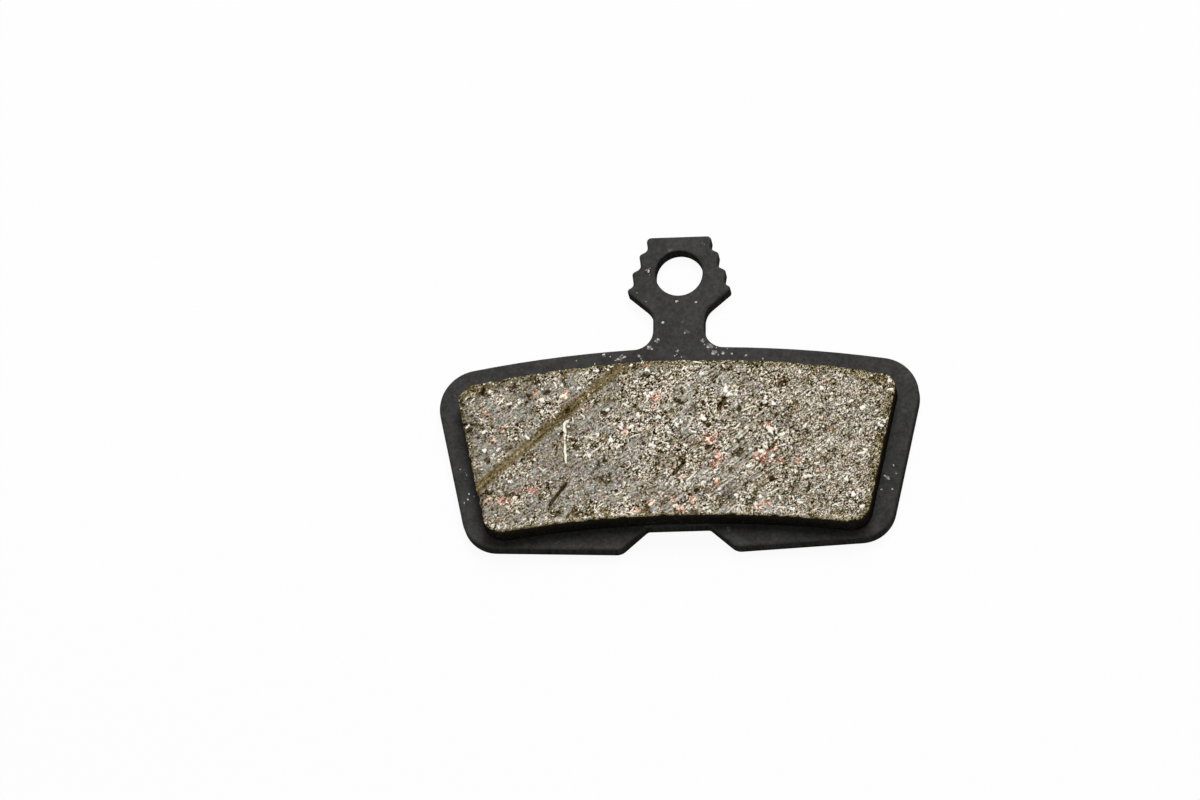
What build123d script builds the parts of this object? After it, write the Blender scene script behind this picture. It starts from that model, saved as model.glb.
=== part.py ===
from build123d import *
import os
from math import cos, radians, sin, sqrt, tan

# Bicycle disc brake pad: a friction lining moulded onto a stamped steel backing plate.
# Millimetres. The pad lies on its back: Z = 0 is the plate's back face and the lining faces +Z.
# +Y points towards the tab, +X to the right, and the pad is symmetric about X = 0, apart from
# the groove in the lining. The origin is the centre of the pin hole, on the back face.

# Backing plate: sheet, pin hole and edges
plate_t = 1.5  # sheet thickness
pin_d = 4.0  # the pin that carries the pad
pin_clearance = 0.15  # radial, between the pin and its hole
die_roll_r = 0.25  # rounding that stamping leaves on the front edges
hole_roll_r = 0.15  # the same round the pin hole
burr_break_r = 0.08  # edges of the back face, tumbled

# Backing plate: serrated tab
tab_end_y = 3.57  # from the pin hole's centre to the end of the tab
tab_end_w = 6.05  # width at the end
tab_corner_r = 0.42
tooth_count = 3  # teeth on each side
first_valley_drop = 1.25  # from the tab's end to the first valley
first_valley_inset = 0.2  # from the tab's end corner in to the first valley
tooth_pitch = 1.72  # along Y
tooth_step = 0.64  # each tooth stands this much further out than the one above
tooth_out = 0.82  # from a valley out to the tip below it
tooth_down = 0.42  # from a valley down to that tip
tip_r = 0.33
valley_r = 0.5
slant_drop = 2.25  # from the last tip down to the neck

# Backing plate: neck between the tab and the body
neck_w = 4.68
neck_h = 3.38  # down to the crown of the body
neck_upper_r = 1.75
neck_lower_r = 1.8

# Backing plate: body
plate_w = 43.4  # widest, across the shoulders
crown_r = 108.0  # the arched top edge
shoulder_r = 3.65
side_taper = 11.9  # degrees from the Y axis, narrower downwards
body_h = 19.27  # from the crown to the lobes
corner_r = 3.2
lobe_rise = 2.5  # degrees, the lower edge rises outwards
lobe_half = 5.18  # from the middle to a lobe's inner corner
lobe_r = 1.2
notch_w = 5.6  # flat of the notch between the lobes
notch_h = 2.1
notch_r = 0.5

# Friction lining
lining_h = 2.5
lining_draft = 2.0  # degrees, so that it leaves the mould
lining_crown_r = 93.0  # the arched upper edge
lining_hollow_r = 110.0  # the arched lower edge
land_top = 2.0  # bare plate above the lining, at the middle
land_side = 1.87  # bare plate beside the lining
land_notch = 0.2  # bare plate between the lining and the notch
lining_upper_r = 1.5  # corners in plan
lining_lower_r = 1.9
lining_edge_r = 0.3  # worn edge of the friction face

# Groove across one corner of the lining
groove_w = 1.1
groove_depth = 0.12
groove_top_x = -4.35  # where it leaves the upper edge
groove_side_h = 3.0  # how far above the lining's lower edge it leaves the side

# Levels and directions that follow from the sizes above
up = (0, 0, 1)
last_tip_y = tab_end_y - first_valley_drop - (tooth_count - 1) * tooth_pitch - tooth_down
crown_y = last_tip_y - slant_drop - neck_h
lobe_y = crown_y - body_h
notch_y = lobe_y + notch_h
lining_crown_y = crown_y - land_top
lining_hollow_y = notch_y + land_notch
crown_centre = Vector(0, crown_y - crown_r)
shoulder_x = plate_w / 2 - shoulder_r
shoulder_rise = sqrt((crown_r - shoulder_r) ** 2 - shoulder_x**2)
shoulder_centre = crown_centre + Vector(shoulder_x, shoulder_rise)
side_normal = Vector(cos(radians(side_taper)), -sin(radians(side_taper)))
side_top = shoulder_centre + side_normal * shoulder_r


def on_side(y, inset=0.0):
    """Point of the plate's right side at height y, moved in by inset square to that side."""
    start = side_top - side_normal * inset
    return Vector(start.X - (start.Y - y) * tan(radians(side_taper)), y)


def mirrored(half):
    """A right half together with its mirror image."""
    return half + mirror(half, Plane.YZ)


def round_corners(face, points, radius):
    """The face with the corners nearest to the given points rounded."""
    corners = [face.vertices().sort_by_distance(point)[0] for point in points]
    return fillet(corners, radius)


def tab_outline():
    """Right side of the tab: its end corner, and each tooth's valley and tip."""
    end = Vector(tab_end_w / 2, tab_end_y)
    first = end - Vector(first_valley_inset, first_valley_drop)
    valleys = [first + Vector(i * tooth_step, -i * tooth_pitch) for i in range(tooth_count)]
    tips = [valley + Vector(tooth_out, -tooth_down) for valley in valleys]
    return end, valleys, tips


def plate_half():
    """Right half of the plate's outline, as a face."""
    end, valleys, tips = tab_outline()
    teeth = [point for pair in zip(valleys, tips) for point in pair]

    # Below the last tip the tab slants in to the neck, which stands on the arched top edge.
    throat = Vector(neck_w / 2, crown_y + neck_h)
    foot_rise = Vector(neck_w / 2, sqrt(crown_r**2 - (neck_w / 2) ** 2))
    foot = crown_centre + foot_rise
    side_of_tab = Polyline((0, tab_end_y), end, *teeth, throat, foot)

    # The top edge runs into the shoulder, and the shoulder into the tapered side.
    crown_end = crown_centre + (shoulder_centre - crown_centre).normalized() * crown_r
    crown = TangentArc(foot, crown_end, tangent=(foot_rise.Y, -foot_rise.X))
    shoulder = TangentArc(crown_end, side_top, tangent=crown % 1)

    # The side meets the rising lower edge of the lobe.
    rise = tan(radians(lobe_rise))
    run_in = tan(radians(side_taper))
    corner_up = rise * (side_top.X - lobe_half - run_in * (side_top.Y - lobe_y)) / (1 - rise * run_in)
    corner = on_side(lobe_y + corner_up)
    lobe = Vector(lobe_half, lobe_y)
    notch = Vector(notch_w / 2, notch_y)
    bottom = Polyline(side_top, corner, lobe, notch, (0, notch_y))

    middle = Line((0, notch_y), (0, tab_end_y))
    face = make_face([*side_of_tab.edges(), crown, shoulder, *bottom.edges(), middle])
    face = round_corners(face, [end], tab_corner_r)
    face = round_corners(face, tips, tip_r)
    face = round_corners(face, valleys, valley_r)
    face = round_corners(face, [throat], neck_upper_r)
    face = round_corners(face, [foot], neck_lower_r)
    face = round_corners(face, [corner], corner_r)
    face = round_corners(face, [lobe], lobe_r)
    return round_corners(face, [notch], notch_r)


def backing_plate():
    """Steel plate, stamped from the front, with the pin hole punched through its tab."""
    pin_hole = Circle(pin_d / 2 + pin_clearance)
    plate = extrude(mirrored(plate_half()) - pin_hole, plate_t, dir=up)
    front = plate.faces().sort_by(Axis.Z)[-1]
    plate = fillet(front.outer_wire().edges(), die_roll_r)
    front = plate.faces().sort_by(Axis.Z)[-1]
    plate = fillet(front.inner_wires()[0].edges(), hole_roll_r)
    back = plate.faces().sort_by(Axis.Z)[0]
    return fillet(back.outer_wire().edges(), burr_break_r)


def lining_outline():
    """Footprint of the lining: two straight sides between two arched edges."""
    right = [on_side(crown_y, land_side), on_side(lobe_y - corner_r, land_side)]
    left = [Vector(-point.X, point.Y) for point in reversed(right)]
    sides = make_face(Polyline(*right, *left, close=True))
    crown = Pos(0, lining_crown_y - lining_crown_r) * Circle(lining_crown_r)
    hollow = Pos(0, lining_hollow_y - lining_hollow_r) * Circle(lining_hollow_r)
    outline = (sides & crown) - hollow
    corners = outline.vertices().sort_by(Axis.Y)
    lower, upper = corners[:2], corners[2:]
    outline = round_corners(outline, [corner.center() for corner in upper], lining_upper_r)
    return round_corners(outline, [corner.center() for corner in lower], lining_lower_r)


def groove():
    """Long round bar whose lower side cuts the shallow groove into the friction face."""
    face_z = plate_t + lining_h
    bar_r = (groove_w**2 / 4 + groove_depth**2) / (2 * groove_depth)
    start = Vector(groove_top_x, lining_crown_y)
    low_end = on_side(lining_hollow_y + groove_side_h, land_side)
    end = Vector(-low_end.X, low_end.Y)
    run = (end - start).normalized()
    overrun = run * groove_w
    lift = Vector(0, 0, face_z - groove_depth + bar_r)
    path = Line(start - overrun + lift, end + overrun + lift)
    return Plane(path @ 0.5, z_dir=run) * Cylinder(bar_r, path.length)


def friction_lining():
    """Composite block moulded onto the plate, with a drafted wall and a grooved face."""
    seat = Plane.XY.offset(plate_t)
    block = extrude(seat * lining_outline(), lining_h, dir=up)
    walls = block.faces().filter_by(Axis.Z, reverse=True)
    block = draft(walls, seat, lining_draft)
    face = block.faces().sort_by(Axis.Z)[-1]
    block = fillet(face.edges(), lining_edge_r)
    return block - groove()


os.makedirs("parts", exist_ok=True)
export_step(backing_plate(), "parts/backing_plate.step")
export_step(friction_lining(), "parts/friction_lining.step")
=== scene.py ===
from math import cos, pi, radians, sin
from random import Random

import bmesh
import bpy
import numpy as np
from bmesh.types import BMEdge, BMFace, BMVert
from bpy.props import FloatProperty, FloatVectorProperty, IntProperty, PointerProperty
from bpy.types import Operator, Panel, PropertyGroup
from mathutils import Matrix, Vector, noise
from mathutils.bvhtree import BVHTree
from mathutils.kdtree import KDTree


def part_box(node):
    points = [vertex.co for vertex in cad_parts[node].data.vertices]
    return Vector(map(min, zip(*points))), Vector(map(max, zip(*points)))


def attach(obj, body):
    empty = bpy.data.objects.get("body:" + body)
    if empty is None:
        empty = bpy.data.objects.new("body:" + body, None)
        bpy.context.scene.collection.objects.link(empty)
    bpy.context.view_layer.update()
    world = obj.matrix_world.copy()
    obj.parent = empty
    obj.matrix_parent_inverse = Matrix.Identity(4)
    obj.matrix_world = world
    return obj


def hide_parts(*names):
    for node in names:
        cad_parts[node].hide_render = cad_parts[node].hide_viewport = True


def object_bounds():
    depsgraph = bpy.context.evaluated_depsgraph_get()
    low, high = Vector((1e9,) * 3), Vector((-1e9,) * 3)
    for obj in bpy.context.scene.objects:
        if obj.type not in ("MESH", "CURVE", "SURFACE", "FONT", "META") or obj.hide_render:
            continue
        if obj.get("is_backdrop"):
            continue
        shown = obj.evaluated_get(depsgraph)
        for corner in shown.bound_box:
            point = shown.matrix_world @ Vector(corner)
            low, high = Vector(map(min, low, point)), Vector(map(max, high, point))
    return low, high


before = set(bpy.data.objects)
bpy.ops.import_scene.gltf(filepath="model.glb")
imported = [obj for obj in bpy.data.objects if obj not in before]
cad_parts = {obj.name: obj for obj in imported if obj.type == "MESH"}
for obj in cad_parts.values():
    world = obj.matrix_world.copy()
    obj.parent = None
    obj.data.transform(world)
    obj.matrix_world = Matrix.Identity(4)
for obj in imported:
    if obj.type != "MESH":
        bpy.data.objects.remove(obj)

bl_info = {
    "name": "Disc brake pad",
    "version": (1, 0, 0),
    "blender": (4, 5, 0),
    "location": "3D View > Sidebar > Brake pad",
    "description": "Coated backing plate with a ground composite lining, and its studio",
    "category": "Object",
}

# The pad lies on its back plate. Pieces are shaped in millimetres and scaled to metres at the end.
CAD_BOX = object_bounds()
MM = 0.001
PLATE_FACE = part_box("backing_plate")[1].z / MM
LINING_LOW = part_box("friction_lining")[0] / MM
LINING_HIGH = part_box("friction_lining")[1] / MM
FRICTION_FACE = LINING_HIGH.z
GRIND_ANGLE = 36.0  # degrees from X, the way the friction face was ground

# Groove across one corner of the lining, as in the solid
GROOVE_TOP = Vector((-4.35, -9.17))
GROOVE_END = Vector((-18.03, -21.14))
GROOVE_WIDTH = 1.1
GROOVE_ANGLE = 41.2  # degrees from X

# Arched lower edge of the lining: its height at the middle, and its radius
LOWER_EDGE = -24.14
LOWER_EDGE_R = 110.0

# Float layers of the lining's mesh that its finish reads
LINING_LAYERS = ("edge", "pore", "clot", "copper", "across", "worn", "wall")
CHIP_SHADOW_SHIFT = (-0.09, 0.08, 0.0)  # looks up a chip from its lower right, where its painted shadow falls

# Depths, widths and numbers of the marks in the friction face
HOLE_DEPTH = 0.16
SOCKET_DEPTH = 0.10
GOUGE_WIDTH = 0.13
GOUGE_DEPTH = 0.22
SCRATCH_COUNT = 80
SCRATCH_WIDTH = 0.09
BITE_COUNT = 70
RESIN_DEPTH = 0.05
CHIP_THICK = 0.14
FIBRE_STEPS = 5
FOOT = 0.3  # the lining's mesh reaches this far below the plate's face until it is cut there

# How far grains of dust stand up from the plate, and how thick they and the nick's burr are
DUST_PROUD = 0.015
DUST_THICK = 0.03
BURR_THICK = 0.04

# Stage in metres: the key lamp's sides, its distance and way from the pad, and the floor
LAMP_SIDES = (0.26, 0.3)
LAMP_AWAY = 0.6
LAMP_WAY = Vector((0.1, 0.39, 0.8)).normalized()
FLOOR_HALF = 3.0
FLOOR_DROP = 0.02 * MM
FLOOR_WHITE = 0.94  # share of plain white in the floor that the camera sees
SENSOR_WIDTH = 36.0  # millimetres

# Marks that stand out on the friction face: x, y, length, width and turn in degrees
PALE_MARKS = (
    (-6.2, -13.9, 0.45, 0.32, 10), (-2.3, -12.5, 0.6, 0.4, 70), (-2.5, -10.3, 0.4, 0.3, 0),
    (-2.1, -10.9, 0.5, 0.35, 40), (-4.9, -15.4, 0.7, 0.35, 100), (-0.6, -16.3, 0.4, 0.3, 20),
    (-2.0, -17.5, 0.45, 0.35, 60), (0.2, -15.5, 0.4, 0.3, 130), (4.6, -12.3, 0.65, 0.5, 80),
    (4.9, -12.7, 0.5, 0.35, 20), (5.5, -12.3, 0.4, 0.28, 85), (4.0, -21.7, 0.6, 0.28, 15),
    (8.7, -18.9, 0.6, 0.34, 60), (9.5, -16.7, 0.5, 0.35, 10), (5.4, -22.5, 0.45, 0.35, 45),
    (6.1, -22.8, 0.5, 0.3, 150), (7.6, -22.6, 0.45, 0.3, 30), (9.4, -22.6, 0.5, 0.26, 75),
    (-16.7, -11.9, 0.4, 0.3, 90), (-16.0, -17.4, 0.45, 0.32, 45), (-13.3, -16.4, 0.4, 0.3, 0),
    (15.8, -22.6, 0.55, 0.4, 30), (11.7, -20.9, 0.5, 0.35, 40), (-10.2, -11.3, 0.8, 0.3, 40),
    (-0.2, -21.1, 0.5, 0.3, 60), (-0.1, -23.2, 0.55, 0.35, 40),
)
COPPER_MARKS = (
    (-1.9, -12.9, 0.75, 0.5, 140), (-1.6, -12.6, 0.5, 0.35, 60), (-4.7, -15.9, 0.7, 0.4, 110),
    (-2.6, -9.7, 0.6, 0.4, 70), (-10.0, -12.3, 0.6, 0.4, 60), (-12.7, -12.1, 0.55, 0.4, 100),
    (3.0, -16.9, 0.7, 0.5, 150), (3.3, -17.2, 0.5, 0.35, 20), (3.8, -18.5, 0.9, 0.5, 110),
    (3.5, -19.3, 0.9, 0.45, 70), (3.6, -21.1, 0.7, 0.35, 80), (7.5, -18.6, 0.75, 0.55, 20),
    (7.9, -18.9, 0.6, 0.45, 80), (7.3, -18.9, 0.45, 0.3, 140), (8.6, -19.2, 0.4, 0.3, 20),
    (9.4, -19.3, 0.5, 0.35, 100), (10.9, -19.2, 0.6, 0.35, 90), (8.5, -16.0, 0.5, 0.4, 0),
    (8.9, -18.1, 0.5, 0.3, 60), (7.9, -23.2, 0.9, 0.26, 10), (7.4, -23.7, 0.6, 0.35, 170),
    (-15.6, -15.5, 0.6, 0.3, 70), (-16.3, -16.5, 0.45, 0.3, 60), (-15.5, -22.3, 0.8, 0.5, 160),
    (-14.7, -22.4, 0.5, 0.35, 20), (-13.2, -21.2, 0.5, 0.3, 120), (0.5, -23.6, 0.7, 0.4, 150),
    (-3.6, -23.6, 0.8, 0.3, 5), (13.0, -15.2, 0.5, 0.2, 10), (-0.1, -22.7, 0.6, 0.3, 20),
    (-0.5, -19.9, 0.5, 0.2, 60), (0.6, -20.5, 0.5, 0.2, 70), (-2.1, -22.8, 0.5, 0.35, 30),
    (-12.5, -21.3, 0.8, 0.28, 45), (-14.1, -21.4, 0.7, 0.18, 0), (13.5, -12.0, 0.4, 0.24, 60),
    (16.4, -13.0, 0.35, 0.22, 100), (13.8, -16.5, 0.4, 0.2, 20), (13.3, -20.3, 0.35, 0.2, 150),
)
DARK_MARKS = (
    (-6.4, -14.2, 0.6, 0.45, 60), (-17.4, -11.8, 0.6, 0.4, 120), (-14.6, -11.3, 0.5, 0.35, 60),
    (-11.7, -12.1, 0.6, 0.4, 10), (-9.8, -13.9, 0.4, 0.3, 90), (3.0, -17.7, 0.6, 0.35, 20),
    (4.1, -13.8, 0.9, 0.6, 30), (9.6, -11.9, 0.7, 0.5, 160), (8.6, -17.9, 0.8, 0.4, 40),
    (7.1, -22.2, 0.6, 0.3, 60), (8.7, -20.9, 0.6, 0.4, 60), (2.6, -17.0, 0.5, 0.4, 80),
    (0.2, -13.3, 0.6, 0.5, 20), (-6.4, -18.6, 0.5, 0.3, 100), (-7.1, -18.9, 0.6, 0.22, 120),
    (4.4, -13.2, 0.6, 0.35, 70), (2.8, -15.5, 0.7, 0.4, 130), (5.7, -14.2, 0.5, 0.35, 50),
    (-2.8, -10.8, 0.8, 0.5, 20), (8.0, -13.9, 0.6, 0.3, 150), (8.9, -14.9, 0.5, 0.3, 60),
)
# Gouges: x and y of both ends
GOUGES = ((-11.3, -22.8, -9.85, -20.85), (-0.2, -20.2, 0.8, -19.1))
# Fibres that stand out: x, y, turn in degrees, length and width
LONG_FIBRES = (
    (-9.96, -14.9, -86, 1.1, 0.3), (-9.9, -16.1, -96, 0.6, 0.15), (-9.97, -17.0, -91, 1.9, 0.2),
    (-11.4, -13.9, -52, 0.9, 0.13), (-9.3, -14.5, -85, 0.7, 0.12), (-7.6, -18.0, 36, 1.6, 0.16),
    (5.9, -14.4, 20, 1.3, 0.16), (8.2, -22.4, 24, 1.2, 0.14), (1.0, -20.9, 46, 1.3, 0.14),
    (-3.2, -16.3, 200, 1.0, 0.12),
)

# Places that are worn smooth, or broken up where the strength is negative: x, y, reach and strength
WORN_PLACES = (
    (5.4, -18.4, 1.5, 0.9), (12.5, -17.5, 2.6, 0.4), (-7.0, -18.5, 2.6, 0.35),
    (3.4, -14.2, 1.7, -0.7), (-0.5, -19.6, 1.6, -0.5), (8.3, -12.8, 1.6, -0.4),
    (-3.0, -11.0, 1.6, -0.4),
)

# Places at the lining's border where resin shows: x, y, half sizes and reach from the border
RESIN_PATCHES = (
    (-17.0, -11.2, 3.0, 1.6, 1.0), (-7.0, -10.2, 3.8, 1.2, 0.7), (-18.3, -17.0, 1.5, 5.0, 0.45),
    (18.0, -17.5, 1.9, 6.5, 1.1), (17.7, -10.8, 2.4, 1.5, 1.9), (15.5, -23.3, 3.0, 1.2, 0.35),
    (-14.5, -23.5, 4.0, 1.0, 0.15), (0.5, -9.4, 4.5, 1.0, 0.7), (9.5, -9.8, 5.0, 1.0, 0.6),
)

# Films of grinding dust on the plate's front: x, y, radius and strength
DUST_FILMS = (
    (-1.94, -6.47, 0.38, 0.8), (-2.62, -7.15, 0.45, 0.8), (2.17, -6.64, 0.3, 0.8),
    (2.8, -7.2, 0.6, 0.75), (3.3, -7.8, 0.45, 0.85), (4.03, -7.89, 0.3, 1.0),
    (4.83, -7.98, 0.2, 0.9), (6.12, -8.21, 0.24, 0.8), (-0.1, -7.54, 0.38, 0.6),
    (-0.5, -8.1, 0.3, 0.55), (0.5, -8.2, 0.3, 0.55), (-3.61, -7.93, 0.24, 0.9),
    (-5.2, -8.09, 0.45, 0.8), (-6.73, -7.75, 0.3, 0.7), (-3.82, -1.76, 0.18, 0.7),
    (-2.98, -2.68, 0.24, 0.5), (2.15, 2.8, 0.5, 0.4), (-19.4, -18.6, 0.5, 0.4),
    (-18.9, -20.9, 0.5, 0.3), (-19.15, -21.3, 0.3, 0.3), (18.83, -20.25, 0.32, 0.8),
    (19.6, -19.93, 0.2, 0.6), (18.24, -21.41, 0.18, 0.7), (19.21, -21.37, 0.2, 0.7),
    (20.13, -14.51, 0.15, 0.6),
)
# Single grains of that dust: x, y and size
DUST_GRAINS = (
    (-0.17, -2.7, 0.2), (1.58, -2.86, 0.18), (-1.41, -4.77, 0.26), (0.57, -5.87, 0.15),
    (4.03, -7.89, 0.2), (-3.61, -7.93, 0.16), (-9.28, -8.17, 0.12), (-7.59, -8.58, 0.12),
    (7.64, -8.58, 0.13), (6.12, -8.21, 0.14), (4.83, -7.98, 0.13), (-19.7, -18.28, 0.1),
    (-19.15, -18.85, 0.12), (-18.86, -20.66, 0.17), (-18.42, -20.91, 0.1), (-18.99, -21.21, 0.16),
    (-19.28, -21.51, 0.15), (19.37, -19.15, 0.14), (18.6, -20.1, 0.13), (18.9, -20.4, 0.14),
    (18.24, -21.41, 0.14), (19.21, -21.37, 0.14), (-1.8, -6.35, 0.2), (-2.1, -6.6, 0.16),
    (-2.8, -7.1, 0.2), (-2.45, -7.3, 0.16), (2.2, -6.5, 0.14), (2.6, -7.3, 0.15),
    (3.1, -7.9, 0.17), (-5.5, -8.1, 0.2), (-4.95, -8.0, 0.18), (-0.05, -7.5, 0.14), (-6.8, -7.7, 0.18),
    (2.9, -7.05, 0.1), (3.45, -7.35, 0.12), (4.4, -7.45, 0.1), (3.6, -8.05, 0.12), (2.35, -7.0, 0.1),
    (-0.35, -8.0, 0.12), (0.25, -8.15, 0.1), (-0.15, -7.9, 0.1), (-5.75, -8.3, 0.14), (-5.15, -7.75, 0.12),
    (-3.4, -8.2, 0.1), (-6.2, -7.9, 0.1),
)
# A nick beside the pin hole, with its burr: marks with their tone. The dark mark is painted shade in the
# nick; the pale marks are the burr, partly painted highlight.
NICK = (
    (-2.7, 0.2, 0.62, 0.36, 95, 0.0), (-2.76, 0.28, 0.5, 0.2, 85, 0.68), (-2.98, 0.38, 0.3, 0.12, 20, 0.5),
    (-2.66, 0.55, 0.2, 0.1, 10, 0.6), (-2.7, -0.06, 0.16, 0.1, 100, 0.45),
)


def colour_setting(name, description, default):
    """A colour that a user can change."""
    return FloatVectorProperty(
        name=name, description=description, subtype="COLOR", default=default, min=0, max=1)


class PlateLook(PropertyGroup):
    """Finish of the backing plate."""

    coat: colour_setting("Coat", "Black coat on the plate's two faces", (0.0508, 0.0498, 0.0464))
    # The stamped edge's darker colour is painted shade on the sheared walls
    edge: colour_setting("Stamped edge", "Darker coat on the sheared walls", (0.031, 0.0302, 0.0285))
    dust: colour_setting("Dust", "Pale grinding dust and scuffs", (0.33, 0.32, 0.30))


class LiningLook(PropertyGroup):
    """Make-up of the friction lining."""

    voxel: FloatProperty(
        name="Mesh step", description="Size of the lining's mesh faces",
        default=0.0001, unit="LENGTH")
    relief: FloatProperty(
        name="Relief", description="Depth of the grain on the friction face",
        default=0.000024, unit="LENGTH")
    pores: IntProperty(
        name="Pores", description="Holes where grains broke out", default=45, min=0)
    clot_share: FloatProperty(
        name="Resin clots", description="Share of the lining's surface with olive resin",
        subtype="FACTOR", default=0.18, min=0, max=1)
    pale_count: IntProperty(
        name="Pale chips", description="Mineral chips in the face", default=640, min=0)
    copper_count: IntProperty(
        name="Copper chips", description="Copper chips in the face", default=22, min=0)
    dark_count: IntProperty(
        name="Dark grains", description="Coke grains in the face", default=60, min=0)
    fibre_count: IntProperty(
        name="Fibres", description="Short pale fibres in the face", default=80, min=0)
    pale: colour_setting("Pale chip", "Colour of the mineral chips", (0.92, 0.86, 0.72))
    copper: colour_setting("Copper chip", "Colour of the copper chips", (0.479, 0.252, 0.178))
    dark: colour_setting("Dark grain", "Colour of the coke grains", (0.014, 0.010, 0.004))
    # Olive binder in the hollows, darkened further as painted shade
    hollow_binder_and_shade: colour_setting("Hollow", "Tint of the hollows, where grains broke out", (0.17, 0.135, 0.065))
    resin: colour_setting(
        "Resin", "Olive-brown binder at the border and in the groove", (0.150, 0.114, 0.043))
    # The wall's dark skin is darkened further as painted shade
    wall: colour_setting("Wall", "Moulded skin of the lining's wall", (0.0122, 0.0108, 0.0084))


class StageLook(PropertyGroup):
    """Camera, lamps and floor."""

    tilt: FloatProperty(
        name="Tilt", description="The pad's far side is tipped back by this much",
        subtype="ANGLE", default=radians(-20.28))
    lean: FloatProperty(
        name="Lean", description="The pad's right side is tipped back by this much",
        subtype="ANGLE", default=radians(-6.28))
    turn: FloatProperty(
        name="Turn", description="Turn of the pad in the picture",
        subtype="ANGLE", default=radians(-0.42))
    hole: FloatVectorProperty(
        name="Pin hole", description="The pin hole's place before the camera",
        subtype="XYZ", unit="LENGTH", default=(0.007311, 0.011006, -0.6))
    lens: FloatProperty(
        name="Lens", description="Focal length, for a sensor 36 mm wide", default=197.973)
    key: FloatProperty(name="Key lamp", description="Power of the key lamp in watts", default=3.22)
    fill: FloatProperty(name="Fill", description="Strength of the room's light", default=0.25)


class PadLook(PropertyGroup):
    """All settings of the pad."""

    plate: PointerProperty(type=PlateLook)
    lining: PointerProperty(type=LiningLook)
    stage: PointerProperty(type=StageLook)


class Value:
    """A node's output; arithmetic on it adds Math nodes to the same tree."""

    def __init__(self, nodes, socket):
        self.nodes, self.socket = nodes, socket

    def output(self, name):
        """Another output of the same node."""
        return Value(self.nodes, self.socket.node.outputs[name])

    def math(self, operation, first, second):
        return self.nodes.add("ShaderNodeMath", {"operation": operation}, {0: first, 1: second})

    def __add__(self, other):
        return self.math("ADD", self, other)

    def __radd__(self, other):
        return self.math("ADD", other, self)

    def __sub__(self, other):
        return self.math("SUBTRACT", self, other)

    def __rsub__(self, other):
        return self.math("SUBTRACT", other, self)

    def __mul__(self, other):
        return self.math("MULTIPLY", self, other)

    def __rmul__(self, other):
        return self.math("MULTIPLY", other, self)

    def __truediv__(self, other):
        return self.math("DIVIDE", self, other)

    def __rtruediv__(self, other):
        return self.math("DIVIDE", other, self)

    def top(self, other):
        """The larger of two values."""
        return self.math("MAXIMUM", self, other)

    def rise(self, low, high):
        """0 up to low, 1 from high, with a smooth step between them."""
        return self.nodes.add(
            "ShaderNodeMapRange", {"interpolation_type": "SMOOTHSTEP", "clamp": True},
            {"Value": self, "From Min": low, "From Max": high})


class Nodes:
    """Builds a node tree."""

    def __init__(self, tree):
        self.tree = tree
        tree.nodes.clear()

    def add(self, kind, settings=None, inputs=None, output=0):
        """A node of a kind with its settings, then its inputs' values or links; one of its outputs."""
        made = self.tree.nodes.new(kind)
        for name, setting in (settings or {}).items():
            if name == "stops":
                self.set_stops(made.color_ramp, setting)
            else:
                setattr(made, name, setting)
        for name, given in (inputs or {}).items():
            if isinstance(given, Value):
                self.tree.links.new(given.socket, made.inputs[name])
            else:
                made.inputs[name].default_value = given
        return Value(self, made.outputs[output]) if made.outputs else None

    @staticmethod
    def set_stops(ramp, stops):
        while len(ramp.elements) < len(stops):
            ramp.elements.new(1.0)
        for element, (place, colour) in zip(ramp.elements, stops):
            element.position = place
            element.color = (*colour, 1.0)

    def millimetres(self):
        """Place on the object, in millimetres."""
        place = self.add("ShaderNodeTexCoord", output="Object")
        return self.vector("SCALE", {0: place, "Scale": 1 / MM})

    def vector(self, operation, inputs):
        return self.add("ShaderNodeVectorMath", {"operation": operation}, inputs)

    def attribute(self, name):
        return self.add("ShaderNodeAttribute", {"attribute_name": name}, output="Fac")

    def noise(self, place, scale, detail=2.0, roughness=0.5):
        return self.add(
            "ShaderNodeTexNoise", None,
            {"Vector": place, "Scale": scale, "Detail": detail, "Roughness": roughness})

    def grains(self, place, scale):
        """Two random values of each grain."""
        cells = self.add("ShaderNodeTexVoronoi", None, {"Vector": place, "Scale": scale}, "Color")
        parts = self.add("ShaderNodeSeparateColor", None, {0: cells})
        return parts, parts.output("Green")

    def drawn_out(self, place, angle, length):
        """A place for a pattern that is drawn out along a direction, in degrees from X."""
        return self.add(
            "ShaderNodeMapping", {"vector_type": "TEXTURE"},
            {"Vector": place, "Rotation": (0, 0, radians(angle)), "Scale": (length, 1, 1)})

    def shaken(self, place, scale, reach):
        """A place moved about by noise, so that grains get uneven outlines."""
        cloud = self.noise(place, scale, 1.0).output("Color")
        centred = self.vector("SUBTRACT", {0: cloud, 1: (0.5, 0.5, 0.5)})
        return self.moved(place, self.vector("SCALE", {0: centred, "Scale": reach}))

    def moved(self, place, shift):
        return self.vector("ADD", {0: place, 1: shift})

    def ramp(self, value, stops):
        return self.add("ShaderNodeValToRGB", {"stops": stops}, {0: value})

    def mix(self, factor, first, second, blend="MIX"):
        """Two colours mixed."""
        return self.add(
            "ShaderNodeMix", {"data_type": "RGBA", "blend_type": blend},
            {0: factor, 6: rgba(first), 7: rgba(second)}, output=2)

    def bump(self, height, depth, strength):
        """A normal from a height between 0 and 1, which stands for a depth in millimetres."""
        return self.add(
            "ShaderNodeBump", None, {"Strength": strength, "Distance": depth * MM, "Height": height})

    def shader(self, **inputs):
        """A principled shader, with socket names written with underscores."""
        named = {name.replace("_", " "): given for name, given in inputs.items()}
        return self.add("ShaderNodeBsdfPrincipled", None, named)

    def surface(self, shader):
        self.add("ShaderNodeOutputMaterial", None, {"Surface": shader})


def rgba(colour):
    """A colour with its alpha, or a link as it is."""
    return colour if isinstance(colour, Value) else (*colour[:3], 1.0)


def new_material(name):
    material = bpy.data.materials.new(name)
    material.use_nodes = True
    return material, Nodes(material.node_tree)


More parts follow.
